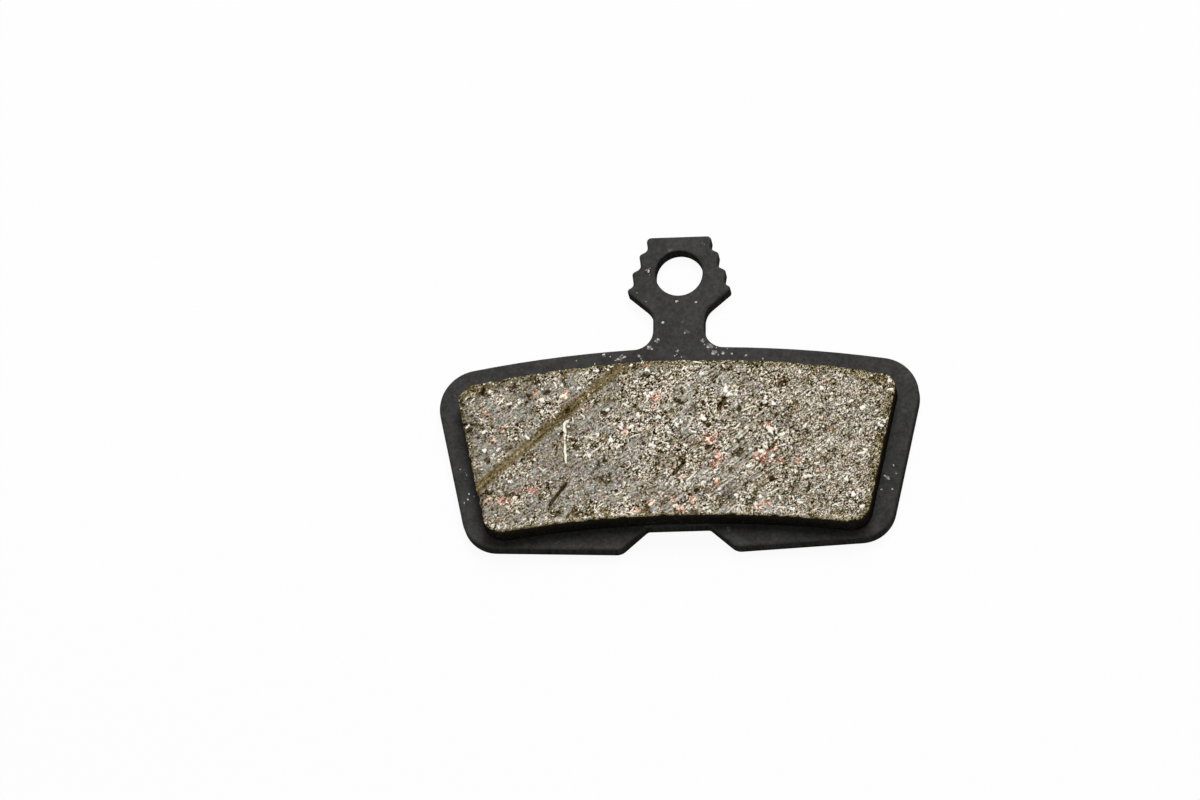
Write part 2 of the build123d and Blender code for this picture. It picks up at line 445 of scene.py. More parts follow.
def srgb(red, green, blue):
    """A screen colour from 0 to 255 as the linear colour of a material."""
    return tuple((c / 255 / 12.92) if c <= 10 else ((c / 255 + 0.055) / 1.055) ** 2.4
                 for c in (red, green, blue))


def grey(level):
    return (level, level, level)


def dust_films(n, place):
    """How thickly dust lies on the plate's front, from the soft round films."""
    cover = None
    for x, y, radius, strength in DUST_FILMS:
        away = n.vector("DISTANCE", {0: place, 1: (x, y, PLATE_FACE)}).output("Value")
        film = strength * away.rise(radius, 0.2 * radius)
        cover = film if cover is None else cover.top(film)
    return cover


def plate_coat(look):
    """Thin black coat: mottled matt faces with films of dust, darker towards the right as painted shade,
    and sheared walls darkened as painted shade.
    """
    material, n = new_material("plate_coat")
    place = n.millimetres()
    upright = n.add("ShaderNodeSeparateXYZ", None,
                    {0: n.add("ShaderNodeNewGeometry", output="Normal")}, output="Z")
    flat = n.add("ShaderNodeMath", {"operation": "ABSOLUTE"}, {0: upright}).rise(0.3, 0.85)
    texture = n.noise(place, 3.6, 3.0, 0.7)
    mottle = n.noise(place, 1.1, 2.0)
    cloud = n.noise(place, 0.3, 3.0)
    # The coat gets darker towards the right: painted shade
    far = n.add("ShaderNodeSeparateXYZ", None, {0: place}).rise(6.0, 20.0)
    tone = 0.5 + 2.0 * (texture - 0.5) + 0.8 * (mottle - 0.5) + 0.5 * (cloud - 0.5) - 0.12 * far
    shade = n.ramp(tone, ((0.1, grey(0.3)), (0.5, grey(0.65)), (0.9, grey(1.0))))
    bloom = n.mix(1.0, look.coat, shade, "MULTIPLY")
    grit, keep = n.grains(n.shaken(place, 2.0, 0.2), 2.6)
    specks = grit.rise(0.965, 1.0) * keep.rise(0.3, 0.9) * cloud.rise(0.45, 0.6)
    flecks = (dust_films(n, place) + 2.2 * (n.noise(place, 4.5, 2.0, 0.6) - 0.5)).rise(0.5, 0.85)
    bloom = n.mix((0.3 * specks).top(0.7 * flecks), bloom, look.dust)
    face = n.shader(
        Base_Color=bloom, Roughness=0.55 + 0.2 * texture, Specular_IOR_Level=0.12,
        Normal=n.bump(0.6 * texture + 0.4 * mottle, 0.03, 0.5))

    # Sheared walls, darkened as painted shade, with fine lines square to the sheet
    shear = n.noise(n.add("ShaderNodeMapping", {"vector_type": "TEXTURE"}, {
        "Vector": place, "Scale": (1, 1, 12)}), 4.0, 2.0, 0.6)
    lines = n.ramp(shear, ((0.3, grey(0.5)), (0.7, grey(1.3))))
    wall = n.shader(
        Base_Color=n.mix(1.0, look.edge, lines, "MULTIPLY"), Roughness=0.8, Specular_IOR_Level=0.0,
        Normal=n.bump(shear, 0.03, 0.6))
    n.surface(n.add("ShaderNodeMixShader", None, {0: flat, 1: wall, 2: face}))
    return material


def lining_composite(look):
    """Ground composite: grey grain, small chips with a painted shadow as their socket, painted shade for
    crevices, olive binder and painted shade in the hollows, olive resin, and moulded walls darkened as
    painted shade.
    """
    material, n = new_material("lining_composite")
    place = n.millimetres()
    edge, pore, clot, copper, across, worn, wall = (n.attribute(name) for name in LINING_LAYERS)

    # Grain, drawn out along the grinding; worn plateaus are calmer and rubbed into fine lines
    loose = n.shaken(place, 4.0, 0.10)
    powder = n.noise(n.drawn_out(loose, GRIND_ANGLE, 1.65), 7.5, 1.0, 0.6)
    cell, hue = n.grains(loose, 7.6)
    clump = n.noise(place, 1.3, 3.0, 0.6)
    cloud = n.noise(place, 0.3, 2.0)
    streak = n.noise(n.drawn_out(place, GRIND_ANGLE, 16.0), 5.0, 2.0, 0.6)

    # Small pale chips, each with a painted shadow on its lower side, and painted shade for crevices
    rough = n.noise(loose, 4.4, 2.0, 0.6)
    below = n.noise(n.moved(loose, CHIP_SHADOW_SHIFT), 4.4, 2.0, 0.6)
    chip = (rough + 0.18 * (hue - 0.5) - 0.06 * worn).rise(0.62, 0.66)
    # The socket is each chip's painted shadow: the chip's own pattern moved to its lower right
    socket = (below - 0.06 * worn).rise(0.59, 0.63) * (1 - chip)
    # Painted shade of crevices: dark patches with no hollow in the mesh under them
    crevice_shade = (n.noise(n.moved(loose, (7, 3, 1)), 2.9, 2.0, 0.6) + 0.05 * worn).rise(0.41, 0.36)

    # The left side is dimmer, the right side finer, and the lower border paler
    x = n.add("ShaderNodeSeparateXYZ", None, {0: place})
    dim, fine = x.rise(-3.0, -14.0), x.rise(5.0, 12.0)
    low = (x.output("Y") + x * x / (2 * LOWER_EDGE_R)).rise(LOWER_EDGE + 1.2, LOWER_EDGE + 0.1)
    calm = worn * (1 - 0.35 * fine)
    hatch = calm * (1 - 0.55 * x.rise(3.0, -2.0))
    speckle = ((1 - 0.55 * calm) * (1.85 * (powder - 0.5) + 0.8 * (cell - 0.5))
               + 1.4 * hatch * (streak - 0.5))
    sand = (0.35 + 1.3 * fine) * (n.noise(place, 13.0, 0.0) - 0.5)
    tone = (0.565 - 0.01 * worn - 0.035 * dim - 0.05 * fine + 0.15 * low
            + (1 - 0.2 * dim - 0.02 * fine) * speckle + sand
            + (1 - 0.5 * fine) * (0.28 * (clump - 0.5) + 0.2 * (cloud - 0.5))
            + 0.62 * chip - 0.38 * socket - 0.5 * crevice_shade)

    # One tone, read as warm grain, cool plateaus, resin or copper
    warm = n.ramp(tone, (
        (0.02, srgb(12, 10, 3)), (0.18, srgb(49, 41, 19)), (0.34, srgb(90, 79, 49)),
        (0.50, srgb(140, 125, 102)), (0.66, srgb(177, 164, 144)), (0.84, srgb(215, 203, 184)),
        (1.0, srgb(254, 249, 235))))
    cool = n.ramp(tone, (
        (0.02, srgb(15, 12, 8)), (0.34, srgb(89, 81, 71)), (0.50, srgb(136, 130, 119)),
        (0.66, srgb(172, 166, 154)), (0.84, srgb(207, 202, 190)), (1.0, srgb(252, 250, 239))))
    sticky = (clot + 1.4 * (powder - 0.5)).rise(0.3, 0.6)
    dull = n.ramp(0.5 + 1.2 * (tone - 0.5) - 0.2 * sticky - 0.10 * edge + 0.3 * (streak - 0.5), (
        (0.05, srgb(24, 18, 3)), (0.3, srgb(60, 48, 14)), (0.55, look.resin),
        (0.8, srgb(160, 144, 98)), (1.0, srgb(222, 208, 168))))
    # Copper stains, their palest stops partly painted highlight
    copper_and_highlight = n.ramp(0.5 + 1.5 * (tone - 0.5), (
        (0.1, srgb(88, 52, 38)), (0.5, look.copper), (0.75, srgb(226, 182, 158)),
        (1.0, srgb(252, 226, 204))))

    # The groove is smeared along its length, with a dark line on each side of its middle
    rut = n.noise(n.drawn_out(place, GROOVE_ANGLE, 14.0), 3.5, 2.0, 0.6)
    line = across.rise(0.04, 0.2) * across.rise(0.5, 0.3)
    smear = n.ramp(0.56 + (rut - 0.5) + (powder - 0.5) + 0.45 * (cell - 0.5) - 0.14 * line, (
        (0.1, srgb(54, 44, 18)), (0.3, srgb(88, 76, 44)), (0.5, srgb(116, 102, 72)),
        (0.75, srgb(148, 132, 100)), (1.0, srgb(206, 190, 154))))
    stained = (1.05 - 1.2 * across + 0.9 * (powder - 0.5) + 0.5 * (clump - 0.5)).rise(0.2, 0.75)

    # Layers of colour, from the grain up to the hollows and the wall
    cool_place = (0.2 + 0.5 * worn - 0.33 * fine + 1.6 * (clump - 0.5) + 0.8 * (cloud - 0.5)
                  + 0.25 * (hue - 0.5)).rise(0.15, 0.85)
    colour = n.mix(cool_place, warm, cool)
    tint = n.noise(n.moved(place, (5, 1, 4)), 2.6, 1.0).output("Color")
    colour = n.mix(0.26, colour, tint, "OVERLAY")
    colour = n.mix((copper + 0.9 * (powder - 0.5)).rise(0.35, 0.65), colour, copper_and_highlight)
    ragged = (edge + 0.9 * (clump - 0.5) + 0.5 * (powder - 0.5)).rise(0.35, 0.7)
    colour = n.mix((0.8 * ragged).top(0.9 * sticky) * (1 - 0.8 * chip), colour, dull)
    colour = n.mix(stained * (1 - 0.3 * chip), colour, smear)
    # Hollows, scratches and gouges: olive binder, darkened further as painted shade
    hollow_binder_and_shade = (pore + (powder - 0.5) + 0.6 * (cell - 0.5)).rise(0.4, 0.75)
    colour = n.mix(hollow_binder_and_shade, colour, n.mix(1.0, colour, look.hollow_binder_and_shade, "MULTIPLY"))
    # Moulded skin of the wall: dark resin, darkened further as painted shade
    skin = n.ramp(0.3 + 0.5 * cell + 0.4 * (clump - 0.5), (
        (0.2, grey(0.35)), (0.75, grey(1.2)), (0.8, (3.0, 2.8, 2.4))))
    skin = n.mix(1.0, look.wall, skin, "MULTIPLY")
    # The wall is paler towards its top
    paler_wall_top = x.output("Z").rise(2.6, 4.0) * (0.6 + 0.8 * powder)
    colour = n.mix(wall, colour, n.mix(0.6 * paler_wall_top, skin, srgb(52, 45, 33)))

    height = 0.5 * powder + 0.3 * cell + 0.4 * streak + 0.3 * chip - 0.3 * socket
    n.surface(n.shader(
        Base_Color=colour, Roughness=0.75 - 0.2 * chip * (1 - wall),
        Specular_IOR_Level=0.0, Normal=n.bump(height, 0.03, 0.5)))
    return material


def chip_finish(name, dark, colour, light, grain, roughness, metallic=0.0):
    """A chip's finish: each chip has its own tone, with fine grain and scratches across it."""
    material, n = new_material(name)
    place = n.millimetres()
    tone = n.attribute("tone")
    cloud = n.noise(place, 6.0, 2.0, 0.6)
    streak = n.noise(n.drawn_out(place, GRIND_ANGLE, 6.0), 5.0, 2.0)
    level = tone + grain * (cloud - 0.5) + grain * (streak - 0.5)
    n.surface(n.shader(
        Base_Color=n.ramp(level, ((0.0, dark), (0.5, colour), (1.0, light))), Metallic=metallic,
        Roughness=roughness + 0.2 * (cloud - 0.5), Specular_IOR_Level=0.15,
        Normal=n.bump(0.5 * cloud + 0.5 * streak, 0.02, 0.5)))
    return material


def only(kind, geometry):
    """The vertices, edges or faces among a bmesh operator's results."""
    return [each for each in geometry if isinstance(each, kind)]


def laid(x, y, z, turn):
    """Turns a shape at the origin by degrees about Z, and moves it to a place."""
    return Matrix.Translation((x, y, z)) @ Matrix.Rotation(radians(turn), 4, "Z")


def new_object(name, data):
    made = bpy.data.objects.new(name, data)
    bpy.context.scene.collection.objects.link(made)
    return made


def in_millimetres(mesh):
    """A mesh as a bmesh in millimetres."""
    bm = bmesh.new()
    bm.from_mesh(mesh)
    bmesh.ops.scale(bm, vec=(1 / MM, 1 / MM, 1 / MM), verts=bm.verts)
    return bm


def finish_piece(bm, name, material, replaces=None):
    """Turns a bmesh in millimetres into a finished piece that rides on the pad."""
    bmesh.ops.scale(bm, vec=(MM, MM, MM), verts=bm.verts)
    mesh = bpy.data.meshes.new(name)
    bm.to_mesh(mesh)
    bm.free()
    mesh.materials.append(material)
    piece = new_object(name, mesh)
    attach(piece, "root")
    if replaces:
        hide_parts(replaces)


def even_block(voxel):
    """The lining's solid as one even mesh in millimetres, with its foot below the plate's face."""
    bm = in_millimetres(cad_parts["friction_lining"].data)
    bmesh.ops.remove_doubles(bm, verts=bm.verts, dist=0.001)
    seat = [v for v in bm.verts if v.co.z < PLATE_FACE + 0.01]
    bmesh.ops.translate(bm, verts=seat, vec=(0, 0, -FOOT))
    mesh = bpy.data.meshes.new("lining_block")
    bm.to_mesh(mesh)
    block = new_object("lining_block", mesh)
    remesh = block.modifiers.new("even mesh", "REMESH")
    remesh.mode = "VOXEL"
    remesh.voxel_size = voxel
    depsgraph = bpy.context.evaluated_depsgraph_get()
    even = bpy.data.meshes.new_from_object(block.evaluated_get(depsgraph))
    bm.clear()
    bm.from_mesh(even)
    bpy.data.objects.remove(block)
    bpy.data.meshes.remove(mesh)
    bpy.data.meshes.remove(even)
    bm.normal_update()
    return bm


def oval_depth(x, y, mark, depth):
    """Depth of an oval hollow at arrays of places."""
    middle_x, middle_y, length, width, turn = mark
    c, s = cos(radians(turn)), sin(radians(turn))
    along = ((x - middle_x) * c + (y - middle_y) * s) / (length / 2)
    across = ((y - middle_y) * c - (x - middle_x) * s) / (width / 2)
    return depth * np.clip(1.2 - along**2 - across**2, 0, 1) ** 0.6


def line_depth(x, y, line, width, depth):
    """Depth of a straight scratch at arrays of places."""
    start, end = np.array(line[:2]), np.array(line[2:])
    run = end - start
    along = np.clip(((x - start[0]) * run[0] + (y - start[1]) * run[1]) / (run @ run), 0, 1)
    off = np.hypot(x - start[0] - along * run[0], y - start[1] - along * run[1])
    return depth * np.exp(-((off / width) ** 2))


def noise_at(points, scale, seed):
    """Noise from -1 to 1 at rows of places."""
    return np.array([noise.noise((p[0] * scale + seed, p[1] * scale, p[2] * scale)) for p in points])


def clouds_at(points, scale, seed):
    """Ragged noise of several sizes at rows of places."""
    rows = ((p[0] * scale + seed, p[1] * scale, p[2] * scale) for p in points)
    return np.array([noise.fractal(row, 0.6, 2.2, 4) for row in rows])


def worn_at(points):
    """How far the face is worn smooth at rows of places: 0 where it is broken up, 1 on plateaus."""
    worn = 0.43 + 0.27 * np.clip(np.abs(points[:, 0] - 0.5) / 14, 0, 1)
    worn += 1.5 * noise_at(points, 0.55, 12) + 0.9 * noise_at(points, 1.6, 33)
    for x, y, reach, strength in WORN_PLACES:
        worn += strength * np.exp(-((points[:, 0] - x) ** 2 + (points[:, 1] - y) ** 2) / reach**2)
    return np.clip(worn, 0, 1)


def highest(values, share, soft):
    """1 where values are in their highest share, 0 elsewhere, with a soft edge."""
    return np.clip((values - np.quantile(values, 1 - share)) / soft + 0.5, 0, 1)


def strewn(seed, count, smallest, largest, slender, left=LINING_LOW.x):
    """Marks strewn over the lining's box, most of them small, few in the groove or on plateaus."""
    rng = Random(seed)
    marks = []
    while len(marks) < count:
        x = rng.uniform(left, LINING_HIGH.x)
        y = rng.uniform(LINING_LOW.y, LINING_HIGH.y)
        length = smallest + (largest - smallest) * rng.random() ** 2.2
        width = length * rng.uniform(slender, 0.9)
        turn = rng.choice((rng.gauss(GRIND_ANGLE, 25), rng.uniform(0, 180)))
        worn = worn_at(np.array(((x, y, FRICTION_FACE),)))[0]
        kept = rng.random() > 0.75 * worn and not in_gouge(x, y)
        if kept and (not in_groove(x, y) or rng.random() < 0.15):
            marks.append((x, y, length, width, turn))
    return marks


def pale_marks(look):
    """Pale chips' places; more of them lie along the right border."""
    return [*PALE_MARKS, *strewn(21, look.pale_count, 0.13, 0.56, 0.35),
            *strewn(25, look.pale_count // 8, 0.14, 0.5, 0.4, LINING_HIGH.x - 3.2)]


def copper_marks(look):
    """Copper chips' places."""
    return [*COPPER_MARKS, *strewn(22, look.copper_count, 0.16, 0.5, 0.4)]


def in_groove(x, y):
    """Whether a place is in the groove."""
    run = (GROOVE_END - GROOVE_TOP).normalized()
    return abs((x - GROOVE_TOP.x) * run.y - (y - GROOVE_TOP.y) * run.x) < GROOVE_WIDTH / 2


def in_gouge(x, y):
    """Whether a place is in a gouge or close beside it."""
    return any(line_depth(x, y, gouge, 0.35, 1.0) > 0.3 for gouge in GOUGES)


class BRAKEPAD_OT_coat_plate(Operator):
    """Coat the stamped backing plate"""

    bl_idname = "brakepad.coat_plate"
    bl_label = "Coat the plate"

    def execute(self, context):
        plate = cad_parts["backing_plate"]
        plate.data.materials.clear()
        plate.data.materials.append(plate_coat(context.scene.brake_pad.plate))
        return {"FINISHED"}


def anywhere(rng):
    """A random place in the lining's box."""
    return rng.uniform(LINING_LOW.x, LINING_HIGH.x), rng.uniform(LINING_LOW.y, LINING_HIGH.y)


def border_of(bm, at, out):
    """Places along the lining's worn upper edge, and each vertex's distance from them in plan."""
    rim = [v.co for v in bm.verts if 0.35 < v.normal.z < 0.75 and v.co.z > PLATE_FACE + 1]
    edge = KDTree(len(rim))
    for i, place in enumerate(rim):
        edge.insert((place.x, place.y, 0), i)
    edge.balance()
    border = np.array([edge.find((p[0], p[1], 0))[2] for p in at])
    border[out[:, 2] < 0.5] = 0
    return rim, border


def resin_creep(at):
    """How far resin reaches in from the border at rows of places."""
    creep = np.full(len(at), 0.14)
    for x, y, half_x, half_y, more in RESIN_PATCHES:
        creep += more * np.exp(-((at[:, 0] - x) / half_x) ** 2 - ((at[:, 1] - y) / half_y) ** 2)
    return creep


def hollows(look, rng):
    """Marks with their depth: where grains broke out, beside chips, and pores."""
    holes = [(*mark[:2], 1.25 * mark[2], 1.25 * mark[3], mark[4], HOLE_DEPTH) for mark in DARK_MARKS]
    for x, y, length, width, turn in pale_marks(look):
        if rng.random() < 0.6:
            holes.append((x + 0.5 * width, y - 0.4 * width, length, 0.8 * width, turn, SOCKET_DEPTH))
    for x, y, length, width, turn in COPPER_MARKS:
        holes.append((x - 0.5 * width, y - 0.45 * width, length, 0.5 * width, turn, SOCKET_DEPTH))
    for _ in range(look.pores):
        size = 0.18 + 0.4 * rng.random() ** 2.5
        holes.append((*anywhere(rng), size, size * rng.uniform(0.4, 0.9), rng.uniform(0, 180),
                      0.05 + 0.25 * size))
    return holes


def scratch_depth(rng, x, y):
    """Depth of the grinding scratches at arrays of places."""
    depth = np.zeros(len(x))
    for _ in range(SCRATCH_COUNT):
        middle = Vector(anywhere(rng))
        turn = radians(GRIND_ANGLE + rng.gauss(0, 2.5))
        reach = Vector((cos(turn), sin(turn))) * rng.uniform(0.8, 2.8)
        line = (*(middle - reach), *(middle + reach))
        depth = np.maximum(depth, line_depth(x, y, line, SCRATCH_WIDTH, rng.uniform(0.01, 0.03)))
    return depth


class BRAKEPAD_OT_lining(Operator):
    """Make the lining with its ground face, pores, gouges, worn edge and moulded wall"""

    bl_idname = "brakepad.lining"
    bl_label = "Make the lining"

    def execute(self, context):
        look = context.scene.brake_pad.lining
        rng = Random(11)
        bm = even_block(look.voxel / MM)
        at = np.array([v.co for v in bm.verts])
        out = np.array([v.normal for v in bm.verts])
        face = out[:, 2].clip(0, 1) ** 4
        rim, border = border_of(bm, at, out)

        # Grain of the ground face, calmer where it is worn smooth, and resin that sits lower
        worn = worn_at(at)
        c, s = cos(radians(GRIND_ANGLE)), sin(radians(GRIND_ANGLE))
        drawn = at @ np.array(((c / 1.4, -s, 0), (s / 1.4, c, 0), (0, 0, 1))) * 4.6
        grain = np.array([noise.voronoi(row)[0][0] for row in drawn.tolist()])
        lumps = 0.5 + 0.5 * noise_at(at, 0.8, 7)
        relief = look.relief / MM * (1.7 + (1 - 0.6 * worn) * (0.75 * grain.clip(0, 1) + 0.5 * lumps + 0.6))
        sticky = clouds_at(at, 0.95, 5) + 0.3 * np.exp(-border / 0.8)
        clot = highest(sticky, look.clot_share, 0.2)

        # Stains round copper chips, hollows with uneven outlines, gouges and scratches
        x = at[:, 0] + 0.3 * noise_at(at, 2.6, 3) + 0.16 * noise_at(at, 7.0, 4)
        y = at[:, 1] + 0.3 * noise_at(at, 2.6, 40) + 0.16 * noise_at(at, 7.0, 41)
        copper, pore = np.zeros(len(at)), np.zeros(len(at))
        for mark in copper_marks(look):
            wide = (*mark[:2], 1.5 * mark[2], 1.5 * mark[3], mark[4])
            copper = np.maximum(copper, oval_depth(x, y, wide, 1.0))
        for *mark, depth in hollows(look, rng):
            pore = np.maximum(pore, oval_depth(x, y, mark, depth))
        for gouge in GOUGES:
            pore = np.maximum(pore, line_depth(at[:, 0], at[:, 1], gouge, GOUGE_WIDTH, GOUGE_DEPTH))
        scratches = scratch_depth(rng, at[:, 0], at[:, 1])
        inward = face * (relief + pore + scratches + RESIN_DEPTH * clot)

        # Worn edge: small bites and a soft wander all round
        near = np.exp(-((border / 0.3) ** 2)) * (at[:, 2] > FRICTION_FACE - 0.6)
        wander = noise_at(at, 1.3, 21).clip(0, 1) + 0.6 * noise_at(at, 3.1, 35).clip(0, 1)
        inward += near * 0.04 * wander
        for _ in range(BITE_COUNT):
            bite = rng.choice(rim)
            size = rng.uniform(0.15, 0.5)
            away = np.linalg.norm(at - np.array(bite), axis=1)
            inward = np.maximum(inward, rng.uniform(0.05, 0.16) * np.clip(1.3 - (away / size) ** 2, 0, 1))

        # Moulded wall: shallow lumps and grain
        side = (1 - np.abs(out[:, 2])).clip(0, 1)
        inward += side * (0.02 + 0.02 * noise_at(at, 1.0, 60) + 0.012 * noise_at(at, 3.5, 80)).clip(0, 1)

        # Layers that the finish reads
        run = np.array(GROOVE_END - GROOVE_TOP)
        run = run / np.linalg.norm(run)
        off = (at[:, 1] - GROOVE_TOP.y) * run[0] - (at[:, 0] - GROOVE_TOP.x) * run[1]
        across = (np.abs(off) + 0.08 * noise_at(at, 1.4, 90)).clip(0, 3)
        steep = np.clip((0.3 - out[:, 2]) / 0.2, 0, 1)
        gouged = np.clip((pore - HOLE_DEPTH) / (GOUGE_DEPTH - HOLE_DEPTH), 0, 1)
        # This layer marks hollows, scratches and gouges, where the finish paints shade
        pore = np.clip(np.maximum(pore, 1.8 * scratches) / 0.1, 0, 1) + 0.5 * gouged
        resin = np.exp(-border / resin_creep(at))
        layers = (resin, pore * face, clot * face, copper * face, across, worn, steep)
        for name, values in zip(LINING_LAYERS, layers):
            layer = bm.verts.layers.float.new(name)
            for v, value in zip(bm.verts, values):
                v[layer] = value
        for v, place, way, depth in zip(bm.verts, at, out, inward):
            v.co = Vector(place - way * depth)

        # The foot is cut off level with the plate's face
        geometry = [*bm.verts, *bm.edges, *bm.faces]
        cut = bmesh.ops.bisect_plane(
            bm, geom=geometry, dist=1e-5, plane_co=(0, 0, PLATE_FACE), plane_no=(0, 0, 1), clear_inner=True)
        ring = only(BMEdge, cut["geom_cut"])
        for f in bm.faces:
            f.smooth = True
        bmesh.ops.holes_fill(bm, edges=ring)
        finish_piece(bm, "friction_lining_ground", lining_composite(look), "friction_lining")
        return {"FINISHED"}


def surface_of(mesh):
    """A mesh's surface in millimetres, to set marks on."""
    bm = in_millimetres(mesh)
    surface = BVHTree.FromBMesh(bm)
    bm.free()
    return surface


def lining_surface():
    """The finished lining's surface."""
    piece = bpy.data.objects.get("friction_lining_ground")
    if piece is None:
        raise RuntimeError("the chips need the lining: make the lining first")
    return surface_of(piece.data)


def level_at(surface, x, y):
    """Height of the friction face at a place, or None beside it and low on its worn edge."""
    place, _, _, _ = surface.ray_cast(Vector((x, y, FRICTION_FACE + 1)), Vector((0, 0, -1)))
    return None if place is None or place.z < FRICTION_FACE - 0.3 else place.z


def level_under(surface, mark):
    """Height of the face's highest point under a mark, or None where the mark overhangs its edge."""
    x, y, length, width, turn = mark
    lie = laid(x, y, 0, turn)
    spread = [Vector((0.4 * i * length, 0.4 * j * width, 0)) for i in (-1, 0, 1) for j in (-1, 0, 1)]
    levels = [level_at(surface, *(lie @ point).xy) for point in spread]
    return None if None in levels else max(levels)


def flake(bm, rng, mark, top, thick, tone, corners):
    """One broken flake with an uneven outline and a broken upper edge, its top at a height."""
    x, y, length, width, turn = mark
    ring = bmesh.ops.create_circle(bm, cap_ends=True, radius=0.5, segments=corners)["verts"]
    for v in ring:
        v.co *= rng.uniform(0.55, 1.2)
    lower = ring[0].link_faces[0]
    raised = bmesh.ops.extrude_face_region(bm, geom=[lower])["geom"]
    upper = only(BMVert, raised)
    bmesh.ops.translate(bm, verts=upper, vec=(0, 0, 1))
    verts = [*ring, *upper]
    layer = bm.verts.layers.float["tone"]
    for v in verts:
        v[layer] = tone
    tip = Matrix.Rotation(rng.gauss(0, 0.03), 4, "X") @ Matrix.Rotation(rng.gauss(0, 0.03), 4, "Y")
    shape = (Matrix.Translation((x, y, top)) @ tip @ Matrix.Rotation(radians(turn), 4, "Z")
             @ Matrix.Diagonal((length, width, thick, 1)) @ Matrix.Translation((0, 0, -1)))
    bmesh.ops.transform(bm, matrix=shape, verts=verts)
    crest = only(BMEdge, raised)
    bmesh.ops.bevel(
        bm, geom=crest, offset=min(0.18 * width, 0.4 * thick), offset_type="OFFSET", affect="EDGES",
        segments=1, profile=0.5, material=-1, clamp_overlap=True)


def fibre(bm, rng, x, y, turn, length, width, top, tone):
    """One fibre that lies in the face, uneven, slightly bent and tapered to its ends."""
    ring = bmesh.ops.create_circle(bm, cap_ends=True, radius=0.5, segments=6)["verts"]
    layer = bm.verts.layers.float["tone"]
    bmesh.ops.rotate(bm, verts=ring, cent=(0, 0, 0), matrix=Matrix.Rotation(pi / 2, 3, "Y"))
    bmesh.ops.scale(bm, verts=ring, vec=(1, 0.6 * width, 0.12 * width))
    verts, end, thick = list(ring), ring[0].link_faces[0], 0.6
    for step in range(FIBRE_STEPS):
        inner = [end] if step else []
        raised = bmesh.ops.extrude_face_region(bm, geom=[end])["geom"]
        fresh, end = only(BMVert, raised), only(BMFace, raised)[0]
        bmesh.ops.delete(bm, geom=inner, context="FACES_ONLY")
        middle = end.calc_center_median()
        wide = 0.5 if step == FIBRE_STEPS - 1 else rng.uniform(0.6, 1.25)
        ahead = Vector((length / FIBRE_STEPS, rng.gauss(0, 0.2) * width, 0))
        shape = (Matrix.Translation(middle + ahead) @ Matrix.Rotation(rng.gauss(0, 0.2), 4, "Z")
                 @ Matrix.Diagonal((1, wide / thick, wide / thick, 1)) @ Matrix.Translation(-middle))
        bmesh.ops.transform(bm, matrix=shape, verts=fresh)
        verts += fresh
        thick = wide
    for v in verts:
        v[layer] = tone
    bmesh.ops.transform(bm, matrix=laid(x, y, top - 0.13 * width, turn), verts=verts)


def broken(rng, mark, pieces, apart, sizes):
    """A mark broken into pieces that lie close together inside it."""
    x, y, length, width, turn = mark
    lie = laid(x, y, 0, turn)
    for _ in range(pieces):
        place = lie @ Vector((rng.uniform(-apart, apart) * length, rng.uniform(-apart, apart) * width, 0))
        size = rng.uniform(*sizes) * width
        yield place.x, place.y, size * rng.uniform(1.0, 1.9), size, turn + rng.gauss(0, 35)


def toned_bmesh():
    """An empty bmesh whose flakes and fibres each have a tone."""
    bm = bmesh.new()
    bm.verts.layers.float.new("tone")
    return bm


def chips(name, material, marks, rng, proud, dullest=0.0):
    """Makes a piece of flakes set into the friction face."""
    surface = lining_surface()
    bm = toned_bmesh()
    for mark in marks:
        level = level_under(surface, mark)
        if level is not None:
            top = min(level + proud, FRICTION_FACE - 0.01)
            flake(bm, rng, mark, top, CHIP_THICK, rng.uniform(dullest, 1.0), rng.randint(5, 8))
    bmesh.ops.recalc_face_normals(bm, faces=bm.faces)
    finish_piece(bm, name, material)


class BRAKEPAD_OT_pale_chips(Operator):
    """Set pale mineral chips into the friction face"""

    bl_idname = "brakepad.pale_chips"
    bl_label = "Set the pale chips"

    def execute(self, context):
        look = context.scene.brake_pad.lining
        rng = Random(41)
        marks = []
        for mark in pale_marks(look):
            marks += broken(rng, mark, 3, apart=0.35, sizes=(0.6, 1.1)) if mark[2] > 0.36 else [mark]
        finish = chip_finish(
            "pale_chip", srgb(128, 114, 86), look.pale, srgb(255, 254, 248), grain=0.9, roughness=0.6)
        chips("pale_chips", finish, marks, rng, proud=0.02, dullest=0.55)
        return {"FINISHED"}


class BRAKEPAD_OT_copper_chips(Operator):
    """Set copper chips into the friction face"""

    bl_idname = "brakepad.copper_chips"
    bl_label = "Set the copper chips"

    def execute(self, context):
        look = context.scene.brake_pad.lining
        rng = Random(42)
        marks = [piece for mark in copper_marks(look)
                 for piece in broken(rng, mark, 6, apart=0.5, sizes=(0.65, 1.15))]
        # The copper's palest end is partly painted highlight
        finish = chip_finish(
            "copper_chip", srgb(84, 46, 34), look.copper, srgb(255, 230, 206),
            grain=2.4, roughness=0.5, metallic=0.1)
        chips("copper_chips", finish, marks, rng, proud=0.008)
        return {"FINISHED"}


class BRAKEPAD_OT_dark_grains(Operator):
    """Set dark coke grains into the friction face"""

    bl_idname = "brakepad.dark_grains"
    bl_label = "Set the dark grains"

    def execute(self, context):
        look = context.scene.brake_pad.lining
        finish = chip_finish(
            "coke_grain", srgb(10, 8, 3), look.dark, srgb(70, 60, 36), grain=0.6, roughness=0.5)
        marks = strewn(23, look.dark_count, 0.14, 0.42, 0.45)
        chips("dark_grains", finish, marks, Random(43), proud=0.002)
        return {"FINISHED"}


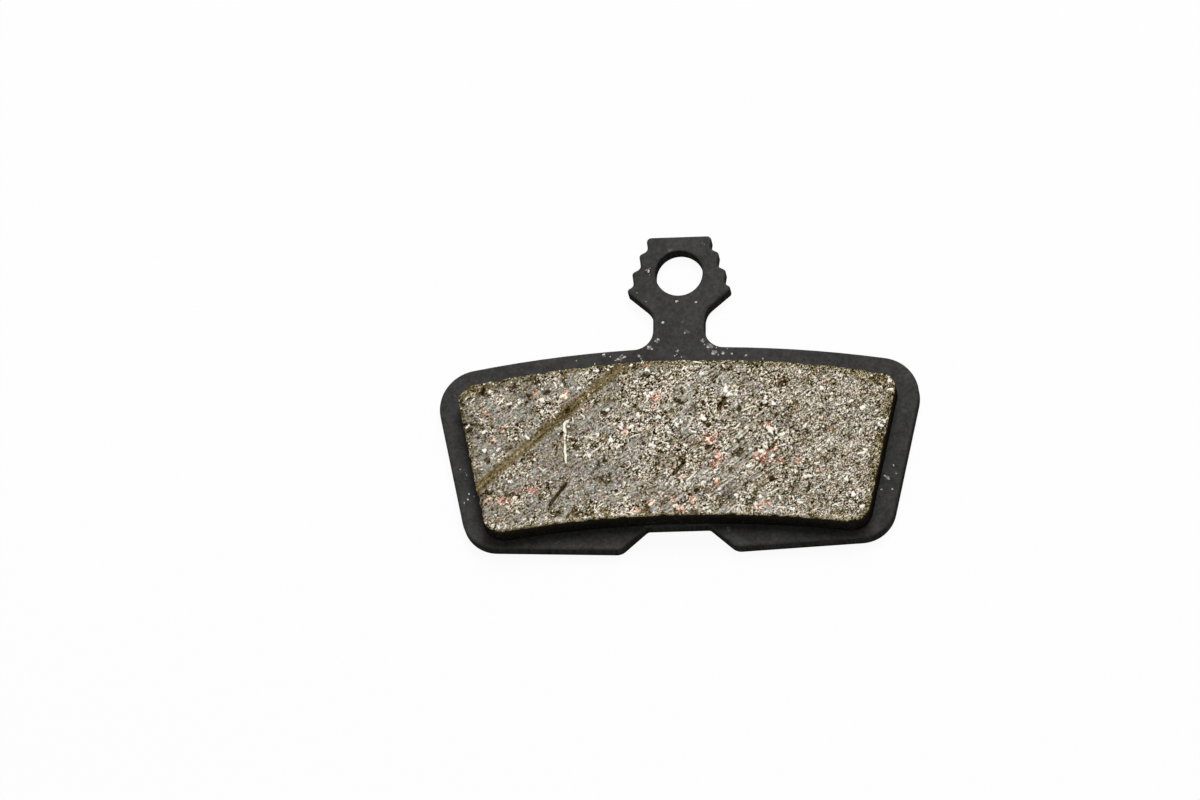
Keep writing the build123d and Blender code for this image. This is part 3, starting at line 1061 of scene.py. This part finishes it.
class BRAKEPAD_OT_fibres(Operator):
    """Lay short pale fibres in the friction face"""

    bl_idname = "brakepad.fibres"
    bl_label = "Lay the fibres"

    def execute(self, context):
        look = context.scene.brake_pad.lining
        rng = Random(24)
        surface = lining_surface()
        bm = toned_bmesh()
        lines = list(LONG_FIBRES)
        for x, y, length, _, turn in strewn(24, look.fibre_count, 0.25, 0.9, 0.5):
            lines.append((x, y, turn, length, rng.uniform(0.09, 0.17)))
        for x, y, turn, length, width in lines:
            half = Vector((cos(radians(turn)), sin(radians(turn)))) * length / 2
            levels = [level_at(surface, x + k * half.x, y + k * half.y) for k in (0.1, 1, 1.9)]
            if None not in levels:
                top = min(max(levels) + 0.03, FRICTION_FACE - 0.005)
                fibre(bm, rng, x, y, turn, length, width, top, rng.uniform(0.35, 0.8))
        bmesh.ops.recalc_face_normals(bm, faces=bm.faces)
        finish = chip_finish(
            "pale_fibre", srgb(150, 138, 108), look.pale, srgb(255, 250, 232), grain=0.6, roughness=0.55)
        finish_piece(bm, "pale_fibres", finish)
        return {"FINISHED"}


def on_front(surface, x, y):
    """Whether a place is on the flat of the plate's front."""
    place, normal, _, _ = surface.ray_cast(Vector((x, y, PLATE_FACE + 1)), Vector((0, 0, -1)))
    return place is not None and normal.z > 0.99


class BRAKEPAD_OT_dust(Operator):
    """Leave grains of grinding dust and a nick on the plate's front"""

    bl_idname = "brakepad.dust"
    bl_label = "Leave the dust"

    def execute(self, context):
        look = context.scene.brake_pad.plate
        rng = Random(31)
        bm = toned_bmesh()
        front = surface_of(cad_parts["backing_plate"].data)
        for x, y, size in DUST_GRAINS:
            whole = (x, y, size, size, rng.uniform(0, 180))
            for mark in broken(rng, whole, 3, apart=0.4, sizes=(0.55, 1.0)):
                if on_front(front, mark[0], mark[1]):
                    flake(bm, rng, mark, PLATE_FACE + DUST_PROUD, DUST_THICK, rng.uniform(0.45, 1.0), 6)
        # The nick's dark mark is painted shade; its pale marks are partly painted highlight
        for *mark, tone in NICK:
            flake(bm, rng, mark, PLATE_FACE + 0.01 + 0.02 * tone, BURR_THICK, tone, 8)
        bmesh.ops.recalc_face_normals(bm, faces=bm.faces)
        finish = chip_finish(
            "grinding_dust", srgb(14, 13, 12), look.dust, srgb(226, 225, 220), grain=0.4, roughness=0.8)
        finish_piece(bm, "plate_dust", finish)
        return {"FINISHED"}


def background_rays(n):
    """1 for rays that show the white background: the camera's, and those in gloss and glass."""
    path = n.add("ShaderNodeLightPath", output="Is Camera Ray")
    return path.top(path.output("Is Glossy Ray")).top(path.output("Is Transmission Ray"))


class BRAKEPAD_OT_stage(Operator):
    """Set up the floor, the lamps and the camera"""

    bl_idname = "brakepad.stage"
    bl_label = "Set up the stage"

    def execute(self, context):
        look = context.scene.brake_pad.stage
        scene = context.scene
        scene.view_settings.view_transform = "Standard"

        bm = bmesh.new()
        bmesh.ops.create_grid(bm, x_segments=2, y_segments=2, size=FLOOR_HALF)
        bmesh.ops.translate(bm, verts=bm.verts, vec=(0, 0, -FLOOR_DROP))
        mesh = bpy.data.meshes.new("floor")
        bm.to_mesh(mesh)
        bm.free()
        material, n = new_material("pale_floor")
        paper = n.add("ShaderNodeBsdfDiffuse", None, {"Color": (0.8, 0.8, 0.8, 1)})
        white = n.add("ShaderNodeEmission", None, {"Color": (1, 1, 1, 1), "Strength": 1.0})
        seen = FLOOR_WHITE * background_rays(n)
        n.surface(n.add("ShaderNodeMixShader", None, {0: seen, 1: paper, 2: white}))
        mesh.materials.append(material)
        floor = new_object("floor", mesh)
        floor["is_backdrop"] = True

        world = bpy.data.worlds.new("room")
        world.use_nodes = True
        n = Nodes(world.node_tree)
        strength = look.fill + (1 - look.fill) * background_rays(n)
        air = n.add("ShaderNodeBackground", None, {"Color": (1, 1, 1, 1), "Strength": strength})
        n.add("ShaderNodeOutputWorld", None, {"Surface": air})
        scene.world = world

        lamp = bpy.data.lights.new("key", "AREA")
        lamp.shape = "RECTANGLE"
        lamp.size, lamp.size_y = LAMP_SIDES
        lamp.energy = look.key
        key = new_object("key", lamp)
        aim = Vector((0, -12 * MM, 0))
        key.location = aim + LAMP_AWAY * LAMP_WAY
        key.rotation_euler = (aim - key.location).to_track_quat("-Z", "Y").to_euler()

        lens = bpy.data.cameras.new("camera")
        lens.sensor_width = SENSOR_WIDTH
        lens.lens = look.lens
        camera = new_object("camera", lens)
        view = (Matrix.Rotation(look.tilt, 3, "X") @ Matrix.Rotation(look.lean, 3, "Y")
                @ Matrix.Rotation(look.turn, 3, "Z"))
        place = -(view.transposed() @ Vector(look.hole))
        camera.matrix_world = Matrix.Translation(place) @ view.transposed().to_4x4()
        scene.camera = camera
        return {"FINISHED"}


STEPS = (
    BRAKEPAD_OT_stage, BRAKEPAD_OT_coat_plate, BRAKEPAD_OT_lining, BRAKEPAD_OT_pale_chips,
    BRAKEPAD_OT_copper_chips, BRAKEPAD_OT_dark_grains, BRAKEPAD_OT_fibres, BRAKEPAD_OT_dust,
)


class BRAKEPAD_PT_sidebar(Panel):
    """Lists the pad's pieces and settings"""

    bl_idname = "BRAKEPAD_PT_sidebar"
    bl_label = "Brake pad"
    bl_space_type = "VIEW_3D"
    bl_region_type = "UI"
    bl_category = "Brake pad"

    def draw(self, context):
        for step in STEPS:
            self.layout.operator(step.bl_idname)
        pad = context.scene.brake_pad
        for look in (pad.plate, pad.lining, pad.stage):
            box = self.layout.box()
            for name in look.__annotations__:
                box.prop(look, name)


CLASSES = (PlateLook, LiningLook, StageLook, PadLook, *STEPS, BRAKEPAD_PT_sidebar)


def register():
    for each in CLASSES:
        bpy.utils.register_class(each)
    bpy.types.Scene.brake_pad = PointerProperty(type=PadLook)


def unregister():
    del bpy.types.Scene.brake_pad
    for each in reversed(CLASSES):
        bpy.utils.unregister_class(each)


def main():
    register()
    bpy.ops.brakepad.stage()
    bpy.ops.brakepad.coat_plate()
    bpy.ops.brakepad.lining()
    bpy.ops.brakepad.pale_chips()
    bpy.ops.brakepad.copper_chips()
    bpy.ops.brakepad.dark_grains()
    bpy.ops.brakepad.fibres()
    bpy.ops.brakepad.dust()
    boxes = {"cad_box": CAD_BOX, "visual_box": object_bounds()}
    {name: [list(corner) for corner in box] for name, box in boxes.items()}


if __name__ == "__main__":
    main()
